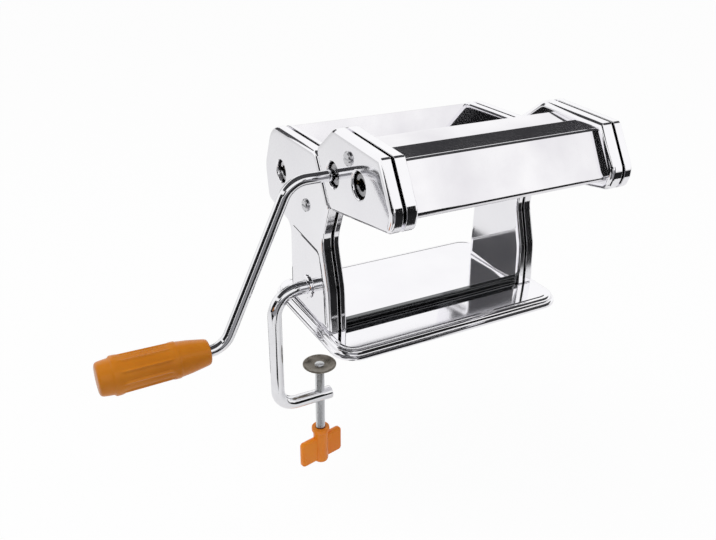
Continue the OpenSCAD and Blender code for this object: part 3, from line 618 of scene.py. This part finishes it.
def soften(bm, amount, angle=math.radians(50), segments=3):
    """Rounds the edges that are sharper than an angle."""
    sharp = [e for e in bm.edges if len(e.link_faces) == 2 and e.calc_face_angle(0) > angle]
    bmesh.ops.bevel(bm, geom=sharp, offset=amount * MM, offset_type="OFFSET", affect="EDGES",
                    segments=segments, profile=0.5, material=-1, clamp_overlap=True)


def start_rod(bm, x, y, z, diameter):
    """First ring of a rod that sets out along -x."""
    place = Matrix.Translation((x * MM, 0, 0)) @ along_x(y, z)
    return circle_edges(bm, diameter, segments=32, place=place)


def go_straight(bm, ring, move):
    """Carries the open end of a rod along a straight."""
    verts, ring = grow_edges(bm, ring)
    bmesh.ops.translate(bm, verts=verts, vec=[c * MM for c in move])
    return ring


def go_round(bm, ring, centre, angle, steps=20):
    """Carries the open end of a rod round a bend in the upright plane along x."""
    verts = list({vert for edge in ring for vert in edge.verts})
    made = bmesh.ops.spin(bm, geom=verts + ring, cent=[c * MM for c in centre], axis=(0, 1, 0),
                          dvec=(0, 0, 0), angle=angle, steps=steps, use_merge=False, use_duplicate=False)
    return [g for g in made["geom_last"] if isinstance(g, bmesh.types.BMEdge)]


# Base and body

def base_tray():
    far_corner = (BASE_HALF_WIDTH, BASE_HALF_DEPTH)
    near_corner = (-BASE_HALF_WIDTH, -BASE_HALF_DEPTH)
    corners = rectangle(near_corner, far_corner, BASE_CORNER)
    lip = quarter_round(BASE_LIP_TOP, -BASE_LIP, BASE_LIP, steps=3)
    bm = bmesh.new()
    keep_flat(pressed_pan(bm, corners, lip, BASE_RIM))
    add_piece("smooth_base_tray", bm, CHROME, "machine_body", replaced=("base_tray",), wall=SIDE_SHEET)


def front_tie_bar():
    half = BODY_FRAME_FACE - PANEL_PLAY
    bm = bmesh.new()
    raise_face(bm, rounded_face(bm, TIE_BAR, -half), 2 * half, keep=True)
    to_side(bm, 1)
    hold_flats(bm)
    # The bar's near-black chrome is a painted dark reflection
    add_piece("smooth_front_tie_bar", bm, DARK_REFLECTION_BAR, "machine_body", replaced=("front_tie_bar",))


def body_sides():
    cover_holes = [(COVER_SCREW, SCREW_HOLE)]
    side_pan("left_cover", BODY_OUTLINE, BODY_COVER_FACE, COVER_RIM, -1,
             cover_holes, "machine_body", sockets=(ROLLER_SOCKET,), panel_hole=True)
    side_pan("right_cover", BODY_OUTLINE, BODY_COVER_FACE, COVER_RIM, 1,
             cover_holes + [(ADJUSTER, ADJUSTER_COVER_HOLE)], "machine_body", panel_hole=False)
    frame_holes = [
        (ROLLER_SOCKET, REAR_BEARING_HOLE), (FRONT_ROLLER, FRONT_BEARING_HOLE), (ADJUSTER, ADJUSTER_HOLE)
    ]
    for name, sign in (("left_frame", -1), ("right_frame", 1)):
        side_pan(name, BODY_OUTLINE, BODY_FRAME_FACE, FRAME_RIM, sign, frame_holes, "machine_body")


def head_sides():
    side_pan("head_left_cover", HEAD_OUTLINE, HEAD_COVER_FACE, COVER_RIM, -1,
             [(HEAD_SCREW, SCREW_HOLE)], "cutter_head", sockets=(NARROW_SOCKET, WIDE_SOCKET))
    side_pan("head_right_cover", HEAD_OUTLINE, HEAD_COVER_FACE, COVER_RIM, 1,
             [(HEAD_SCREW, SCREW_HOLE)], "cutter_head")
    for name, sign in (("head_left_frame", -1), ("head_right_frame", 1)):
        side_pan(name, HEAD_OUTLINE, HEAD_FRAME_FACE, FRAME_RIM, sign, [], "cutter_head")


def panels():
    body_half = BODY_FRAME_FACE - PANEL_PLAY
    head_half = HEAD_FRAME_FACE - PANEL_PLAY
    folded_panel("hopper_rear_panel", HOPPER_REAR, body_half, "machine_body", flip=1, fold=0)
    folded_panel("hopper_front_panel", HOPPER_FRONT, body_half, "machine_body", flip=1, fold=0.5)
    folded_panel("head_front_panel", HEAD_FRONT, head_half, "cutter_head", flip=-1, fold=1.4)
    folded_panel("head_guide_plate", HEAD_GUIDE, head_half, "cutter_head", flip=-1)
    folded_panel("head_rear_panel", HEAD_REAR, head_half, "cutter_head", flip=1)


# Crank

def crank_rod():
    turn = QUARTER_TURN - CRANK_LEAN
    y, top = NARROW_SOCKET
    low = top - CRANK_THROW
    upper = CRANK_UPPER_BEND * math.tan(turn / 2)
    lower = CRANK_LOWER_BEND * math.tan(turn / 2)
    low_x = CRANK_CORNER + CRANK_THROW * math.tan(CRANK_LEAN)
    arm = CRANK_THROW / math.cos(CRANK_LEAN) - upper - lower
    bm = bmesh.new()
    ring = start_rod(bm, -CRANK_TIP, y, top, CRANK_ROD)
    ring = go_straight(bm, ring, (CRANK_TIP - CRANK_CORNER + upper, 0, 0))
    ring = go_round(bm, ring, (upper - CRANK_CORNER, y, top - CRANK_UPPER_BEND), -turn)
    ring = go_straight(bm, ring, (-arm * math.sin(CRANK_LEAN), 0, -arm * math.cos(CRANK_LEAN)))
    ring = go_round(bm, ring, (-low_x - lower, y, low + CRANK_LOWER_BEND), turn)
    go_straight(bm, ring, (low_x + lower - GRIP_OUT + GRIP_END_WALL, 0, 0))
    bmesh.ops.holes_fill(bm, edges=bm.edges[:])
    soften(bm, CRANK_END_ROUND)
    add_piece("smooth_crank_rod", bm, ROD, "crank", replaced=("crank_rod",))


# Grip: end cap, taper, barrel and flutes
GRIP_CAP = 9.4
GRIP_TAPER = 21.0
BARREL_RADIUS = 13.0
BARREL_FALL = 0.7
BARREL_EDGE = 0.8
BARREL_ROWS = 24
FLUTES = 10
FLUTE_STEPS = 16
FLUTE_DEPTH = 0.8
FLUTE_FADE = 3.0
FLUTE_START = 4.0
FLUTE_STOP = 3.6
RIDGE_SHARE = 0.3


def grip_profile():
    """Radius and place along the grip: end cap, long barrel, taper and mouth, and where the flutes end."""
    end = -GRIP_OUT
    inner = -GRIP_IN
    barrel_out = end + GRIP_CAP
    barrel_in = inner - GRIP_TAPER
    length = barrel_in - barrel_out - 2 * BARREL_EDGE
    shares = [k / BARREL_ROWS for k in range(BARREL_ROWS + 1)]
    barrel = [(BARREL_RADIUS - BARREL_FALL * share, barrel_out + BARREL_EDGE + length * share)
              for share in shares]
    cap = [(0, end), (7.5, end), (8.8, end + 0.05), (9.9, end + 0.4), (10.7, end + 1.1), (11.1, end + 2.2),
           (11.5, end + 5), (11.8, end + 8.4), (12.1, end + 8.9), (12.7, end + 9.5)]
    taper = [(12.2, barrel_in - 0.3), (11.8, barrel_in + 0.4), (11.7, barrel_in + 1.2), (10.9, inner - 13),
             (10.0, inner - 8), (9.2, inner - 3.5), (8.8, inner - 1.6), (8.3, inner - 0.6),
             (7.5, inner - 0.1)]
    mouth = [(6.8, inner), (5.2, inner), (5.2, inner - 4.5), (4.1, inner - 4.6)]
    return cap + barrel + taper + mouth, barrel_out + FLUTE_START, barrel_in - FLUTE_STOP


def cut_flutes(bm, low, high):
    """Presses shallow flutes into the barrel of the grip between two places along it."""
    for vert in bm.verts:
        along = vert.co.z / MM
        end = min(along - low, high - along)
        if end > 0:
            turn = (math.atan2(vert.co.y, vert.co.x) * FLUTES / FULL_TURN) % 1
            ridge = max(0.0, 1 - abs(turn - 0.5) * 2 / RIDGE_SHARE)
            depth = FLUTE_DEPTH * (1 - ridge) * min(1.0, end / FLUTE_FADE)
            scale = 1 - depth * MM / math.hypot(vert.co.x, vert.co.y)
            vert.co.x *= scale
            vert.co.y *= scale


def crank_grip():
    profile, low, high = grip_profile()
    bm = bmesh.new()
    turned(bm, profile, Matrix.Identity(4), steps=FLUTES * FLUTE_STEPS)
    cut_flutes(bm, low, high)
    place = along_x(NARROW_SOCKET[0], NARROW_SOCKET[1] - CRANK_THROW)
    bmesh.ops.transform(bm, matrix=place, verts=bm.verts[:])
    add_piece("smooth_crank_grip", bm, SHADED_GRIP_AMBER, "crank_grip", replaced=("crank_grip",))


# Clamp

def clamp_rod():
    y, top = CLAMP_HOLE
    bm = bmesh.new()
    ring = start_rod(bm, -CLAMP_TIP, y, top, CLAMP_ROD)
    ring = go_straight(bm, ring, (CLAMP_TIP - CLAMP_X + CLAMP_UPPER_BEND, 0, 0))
    ring = go_round(bm, ring, (CLAMP_UPPER_BEND - CLAMP_X, y, top - CLAMP_UPPER_BEND), -QUARTER_TURN)
    ring = go_straight(bm, ring, (0, 0, CLAMP_LOW - top + CLAMP_UPPER_BEND + CLAMP_LOWER_BEND))
    ring = go_round(bm, ring, (CLAMP_LOWER_BEND - CLAMP_X, y, CLAMP_LOW + CLAMP_LOWER_BEND), -QUARTER_TURN)
    go_straight(bm, ring, (CLAMP_X - CLAMP_LOWER_BEND - CLAMP_END, 0, 0))
    bmesh.ops.holes_fill(bm, edges=bm.edges[:])
    soften(bm, CLAMP_END_ROUND)
    add_piece("smooth_clamp_rod", bm, ROD, "clamp", replaced=("clamp_rod",))


def clamp_sleeve():
    bm = bmesh.new()
    out = -BODY_COVER_FACE
    profile = [(5.3, out + 12), (7.6, out + 12), (7.6, out - 0.1), (9.1, out - 0.1), (9.1, out - 0.9),
               (8.5, out - 1.4), (5.6, out - 1.4), (5.3, out - 1.1), (5.3, out + 12)]
    turned(bm, profile, along_x(*CLAMP_HOLE))
    add_piece("smooth_clamp_sleeve", bm, CHROME, "machine_body", replaced=("clamp_sleeve",))


# Thread and ends of the clamp screw
THREAD_PITCH = 1.25
THREAD_TIP = 3.8
THREAD_ROOT = 3.1
THREAD_CREST = 0.2
THREAD_SUNK = 1.0
THREAD_STOP = 1.5
SCREW_FOOT = PAD_TOP - 3.1
SCREW_IN_KNOB = 20.0
TURN_STEPS = 24


def screw_thread(bm):
    """Thread wound up from the knob to just below the foot of the screw."""
    turns = int((SCREW_FOOT - THREAD_STOP - KNOB_TOP) / THREAD_PITCH)
    middle = THREAD_PITCH / 2
    ridge = [(THREAD_ROOT, 0), (THREAD_TIP, middle - THREAD_CREST / 2),
             (THREAD_TIP, middle + THREAD_CREST / 2), (THREAD_ROOT, THREAD_PITCH)]
    verts = [bm.verts.new((radius * MM, 0, height * MM)) for radius, height in ridge]
    edges = [bm.edges.new(pair) for pair in zip(verts, verts[1:])]
    bmesh.ops.spin(bm, geom=verts + edges, cent=(0, 0, 0), axis=(0, 0, 1),
                   dvec=(0, 0, THREAD_PITCH * MM / TURN_STEPS), angle=FULL_TURN * turns,
                   steps=TURN_STEPS * turns, use_merge=False, use_duplicate=False)
    bmesh.ops.remove_doubles(bm, verts=bm.verts[:], dist=0.00002)
    bmesh.ops.transform(bm, matrix=upright(0, 0, KNOB_TOP - THREAD_SUNK), verts=bm.verts[:])


def clamp_screw():
    foot = SCREW_FOOT
    low = KNOB_TOP - SCREW_IN_KNOB
    profile = [(0, low), (3.0, low), (3.15, KNOB_TOP), (3.15, foot - 2.2), (2.9, foot - 1.6),
               (2.9, foot - 0.6), (2.5, foot), (2.5, PAD_TOP - 1.1), (4.0, PAD_TOP - 1.1),
               (3.8, PAD_TOP - 0.5), (3.0, PAD_TOP - 0.25), (0, PAD_TOP - 0.2)]
    bm = bmesh.new()
    screw_thread(bm)
    core = bmesh.new()
    turned(core, profile, Matrix.Identity(4), steps=32)
    join(bm, core)
    bmesh.ops.transform(bm, matrix=upright(SCREW_X, CLAMP_HOLE[0]), verts=bm.verts[:])
    add_piece("smooth_clamp_screw", bm, SCREW_STEEL, "clamp_screw", replaced=("clamp_screw",))


def clamp_pad():
    bm = bmesh.new()
    top = PAD_TOP
    profile = [(2.6, top - 1.2), (6.0, top - 1.2), (8.0, top - 1.15), (10.0, top - 0.8), (11.8, top - 0.2),
               (12.6, top), (13.2, top - 0.05), (13.5, top - 0.4), (13.45, top - 1.0), (12.9, top - 1.5),
               (11.0, top - 2.3), (8.6, top - 2.9), (7.0, top - 3.0), (2.6, top - 3.0), (2.6, top - 1.2)]
    turned(bm, profile, upright(SCREW_X, CLAMP_HOLE[0]))
    add_piece("smooth_clamp_pad", bm, ZINC, "clamp_pad", replaced=("clamp_pad",))


# Wing knob, with heights counted from its top
WING_HALF = 20.5
WING_TOP = -9.6
WING_LOW = -33.0
WING_THICK = 5.2
WING_CORNER = 3.0
WING_EDGE = 1.7
KNOB_HUB = [
    (3.82, -20), (3.82, -0.6), (4.6, 0), (6.6, 0), (7.3, -0.5), (7.5, -1.4), (7.5, -3.4), (7.2, -4.2),
    (6.4, -5.0), (6.2, -6.0), (6.2, -32.6), (5.8, -34.0), (4.8, -34.8), (3.4, -35), (0, -35)
]


def clamp_knob():
    wing = rectangle((-WING_HALF, WING_LOW), (WING_HALF, WING_TOP), WING_CORNER)
    bm = bmesh.new()
    raise_face(bm, rounded_face(bm, wing, 0), WING_THICK)
    soften(bm, WING_EDGE, angle=math.radians(60), segments=4)
    stand = Matrix.Rotation(QUARTER_TURN, 4, "X") @ Matrix.Translation((0, 0, -WING_THICK / 2 * MM))
    bmesh.ops.transform(bm, matrix=stand, verts=bm.verts[:])
    hub = bmesh.new()
    turned(hub, KNOB_HUB, Matrix.Identity(4), steps=48)
    join(bm, hub)
    place = upright(SCREW_X, CLAMP_HOLE[0], KNOB_TOP) @ Matrix.Rotation(KNOB_TURN, 4, "Z")
    bmesh.ops.transform(bm, matrix=place, verts=bm.verts[:])
    add_piece("smooth_clamp_knob", bm, LIT_KNOB_AMBER, "clamp_screw", replaced=("clamp_knob",))


# Finishes of the pieces that keep their solids

KEPT_FINISH = [
    (RUBBER, ["rubber_feet"]),
    (ZINC, ["leg_screws", "frame_screws", "knob_screw"]),
    (ROD, ["tie_rods", "head_tie_rod", "crank_pin"]),
    (COVER_SCREW_STEEL, ["cover_screws", "head_screws"]),
    (SCRAPER_STEEL, ["rear_scraper", "front_scraper", "head_rails"]),
    (BRASS, ["roller_bushes", "bearing_blocks", "cutter_bushes"]),
    (ROLLER_STEEL, ["rear_roller", "front_roller", "adjuster_shaft"]),
    (GEAR_STEEL, ["rear_roller_gear", "front_roller_gear", "narrow_driver_gear", "narrow_mate_gear",
                  "wide_driver_gear", "wide_mate_gear", "knob_spring"]),
    # Cutters and combs take steel darkened as painted shade
    (SHADED_CUTTER_STEEL, ["narrow_cutter_driver", "narrow_cutter_mate", "wide_cutter_driver", "wide_cutter_mate"]),
    (SHADED_COMB_STEEL, ["narrow_combs", "wide_combs"]),
    (CHROME, ["dial_plate"]),
    (BLACK, ["adjuster_knob", "knob_cap"]),
]


def finish_kept_nodes():
    for material, names in KEPT_FINISH:
        for name in names:
            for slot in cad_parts[name].material_slots:
                slot.material = material


# Stage

FLOOR_Z = -0.161
FLOOR_HALF = 6
FLOOR_SEEN_WHITE = 0.96
FLOOR_MIRRORED_WHITE = 0.36
WORLD_LIGHT = 0.5
WORLD_SEEN = 1.0
CARD_Z = -0.1375
CARD_BLUE = 1.05
SENSOR_WIDTH = 36
IMAGE_WIDTH = 716
FOCAL_PIXELS = 746.032
CAMERA_PLACE = (-294.907, -454.412, 290.578)
CAMERA_TURN = math.radians(-28.053)
CAMERA_RISE = math.radians(26.294)
CAMERA_ROLL = math.radians(0.547)


def background_share(nodes, links, seen_share, mirrored_share):
    """Share of plain white for rays that look at the background straight, and for rays off polished metal."""
    path = nodes.new("ShaderNodeLightPath")
    seen = nodes.new("ShaderNodeMath")
    seen.operation = "MULTIPLY"
    seen.inputs[1].default_value = seen_share
    links.new(path.outputs["Is Camera Ray"], seen.inputs[0])
    both = nodes.new("ShaderNodeMath")
    both.operation = "MULTIPLY_ADD"
    both.inputs[1].default_value = mirrored_share
    links.new(path.outputs["Is Glossy Ray"], both.inputs[0])
    links.new(seen.outputs["Value"], both.inputs[2])
    return both.outputs["Value"]


def floor_material():
    """Pale matt floor that looks white to the camera and greyer in polished metal."""
    material = bpy.data.materials.new("pale_floor")
    material.use_nodes = True
    nodes, links = material.node_tree.nodes, material.node_tree.links
    shader = nodes["Principled BSDF"]
    shader.inputs["Base Color"].default_value = (0.9, 0.9, 0.91, 1)
    shader.inputs["Roughness"].default_value = 0.9
    glow = nodes.new("ShaderNodeEmission")
    glow.inputs["Color"].default_value = (1, 1, 1, 1)
    mix = nodes.new("ShaderNodeMixShader")
    links.new(background_share(nodes, links, FLOOR_SEEN_WHITE, FLOOR_MIRRORED_WHITE), mix.inputs["Fac"])
    links.new(shader.outputs["BSDF"], mix.inputs[1])
    links.new(glow.outputs["Emission"], mix.inputs[2])
    links.new(mix.outputs["Shader"], nodes["Material Output"].inputs["Surface"])
    return material


def studio_floor():
    bm = bmesh.new()
    bmesh.ops.create_grid(bm, x_segments=1, y_segments=1, size=FLOOR_HALF)
    bmesh.ops.translate(bm, verts=bm.verts[:], vec=(0, 0, FLOOR_Z))
    floor = new_object("floor", bm, floor_material())


def card_material(name, tone):
    """Matt card of one tone."""
    material = bpy.data.materials.new(name)
    material.use_nodes = True
    shader = material.node_tree.nodes["Principled BSDF"]
    shader.inputs["Base Color"].default_value = (tone, tone, CARD_BLUE * tone, 1)
    shader.inputs["Roughness"].default_value = 1
    shader.inputs["Specular IOR Level"].default_value = 0
    return material


def studio_card(name, material, low, high):
    """Card that only reflections see, flat along the axis where its two corners agree."""
    bm = bmesh.new()
    bmesh.ops.create_grid(bm, x_segments=1, y_segments=1, size=0.5)
    size = [b - a for a, b in zip(low, high)]
    flat_axis = size.index(0)
    size[flat_axis] = 1
    # A card that is flat along x stands up when turned about y, and one flat along y when turned about x
    if flat_axis < 2:
        upright_turn = Matrix.Rotation(QUARTER_TURN, 3, "YX"[flat_axis])
        bmesh.ops.rotate(bm, matrix=upright_turn, verts=bm.verts[:])
    bmesh.ops.scale(bm, vec=size, verts=bm.verts[:])
    bmesh.ops.translate(bm, vec=[(a + b) / 2 for a, b in zip(low, high)], verts=bm.verts[:])
    card = new_object(name, bm, material)
    card.visible_camera = False
    card.visible_diffuse = False
    card.visible_shadow = False


def studio_cards():
    """Cards on the floor, walls and ceiling that give the polished sheets their dark and pale bands."""
    black = card_material("black_card", 0.02)
    grey = card_material("grey_card", 0.11)
    pale = card_material("pale_card", 0.36)
    dim = card_material("ceiling_card", 0.09)
    low = CARD_Z
    front = -2.4
    left = -1.5
    near = -0.37
    front_split = 0.5
    left_split = -1.2
    front_top = 0.55
    studio_card("front_card", black, (-0.12, front, low), (2.2, near, low))
    studio_card("near_front_card", black, (-0.12, near, low), (0.14, -0.25, low))
    studio_card("front_left_card", pale, (-2.2, front, low), (-0.12, -0.36, low))
    studio_card("front_wall", black, (front_split, front, low), (2.2, front, front_top))
    studio_card("tall_front_wall", black, (front_split, front, front_top), (1.5, front, 1.25))
    studio_card("front_left_wall", pale, (-2.2, front, low), (front_split, front, front_top))
    studio_card("clamp_card", black, (-0.2, -0.25, low), (-0.135, -0.12, low))
    studio_card("left_card", black, (-1.6, -0.36, low), (-0.36, -0.12, low))
    studio_card("left_wall", black, (left, left_split, low), (left, 0.35, 0.8))
    studio_card("upper_left_wall", black, (left, front, 0.6), (left, left_split, 1.3))
    studio_card("rear_card", grey, (-0.17, 0.15, low), (0.15, 0.36, low))
    studio_card("rear_left_panel", grey, (-0.235, 0.3, 0.13), (-0.1, 0.3, 0.3))
    studio_card("ceiling_card", dim, (-2.0, -1.32, 1.5), (2.2, 1.15, 1.5))


def studio_world():
    """White surroundings that look brighter than the light they give."""
    world = bpy.data.worlds.new("studio")
    bpy.context.scene.world = world
    world.use_nodes = True
    nodes, links = world.node_tree.nodes, world.node_tree.links
    background = nodes["Background"]
    background.inputs["Color"].default_value = (1, 1, 1, 1)
    strength = nodes.new("ShaderNodeMapRange")
    strength.inputs["To Min"].default_value = WORLD_LIGHT
    strength.inputs["To Max"].default_value = WORLD_SEEN
    links.new(background_share(nodes, links, seen_share=1.0, mirrored_share=1.0), strength.inputs["Value"])
    links.new(strength.outputs["Result"], background.inputs["Strength"])


def soft_light(name, place, target, size, power):
    """Area light that polished metal does not mirror."""
    light = bpy.data.lights.new(name, "AREA")
    light.shape = "RECTANGLE"
    light.size = size[0]
    light.size_y = size[1]
    light.energy = power
    lamp = bpy.data.objects.new(name, light)
    lamp.visible_glossy = False
    lamp.location = place
    aim = Vector(target) - Vector(place)
    lamp.rotation_euler = aim.to_track_quat("-Z", "Y").to_euler()
    bpy.context.collection.objects.link(lamp)


def photo_camera():
    """Camera fitted to the edges of the machine in the photo."""
    data = bpy.data.cameras.new("camera")
    data.sensor_fit = "HORIZONTAL"
    data.sensor_width = SENSOR_WIDTH
    data.lens = SENSOR_WIDTH * FOCAL_PIXELS / IMAGE_WIDTH
    data.clip_start = 0.01
    camera = bpy.data.objects.new("camera", data)
    back = Vector((math.sin(CAMERA_TURN) * math.cos(CAMERA_RISE),
                   -math.cos(CAMERA_TURN) * math.cos(CAMERA_RISE), math.sin(CAMERA_RISE)))
    level = Vector((math.cos(CAMERA_TURN), math.sin(CAMERA_TURN), 0))
    above = back.cross(level)
    right = math.cos(CAMERA_ROLL) * level + math.sin(CAMERA_ROLL) * above
    up = -math.sin(CAMERA_ROLL) * level + math.cos(CAMERA_ROLL) * above
    turn = Matrix((right, up, back)).transposed()
    camera.matrix_world = Matrix.Translation([c * MM for c in CAMERA_PLACE]) @ turn.to_4x4()
    bpy.context.collection.objects.link(camera)
    bpy.context.scene.camera = camera


base_tray()
front_tie_bar()
body_sides()
head_sides()
panels()
crank_rod()
crank_grip()
clamp_rod()
clamp_sleeve()
clamp_screw()
clamp_pad()
clamp_knob()
finish_kept_nodes()

studio_floor()
studio_cards()
studio_world()
soft_light("key_light", place=(-0.5, 0.1, 1.4), target=(-0.1, 0, 0.05), size=(0.8, 0.8), power=10)
soft_light("fill_light", place=(1.2, -0.6, 0.9), target=(0, 0, 0.05), size=(1.0, 1.0), power=2)
photo_camera()
bpy.context.scene.view_settings.view_transform = "Standard"
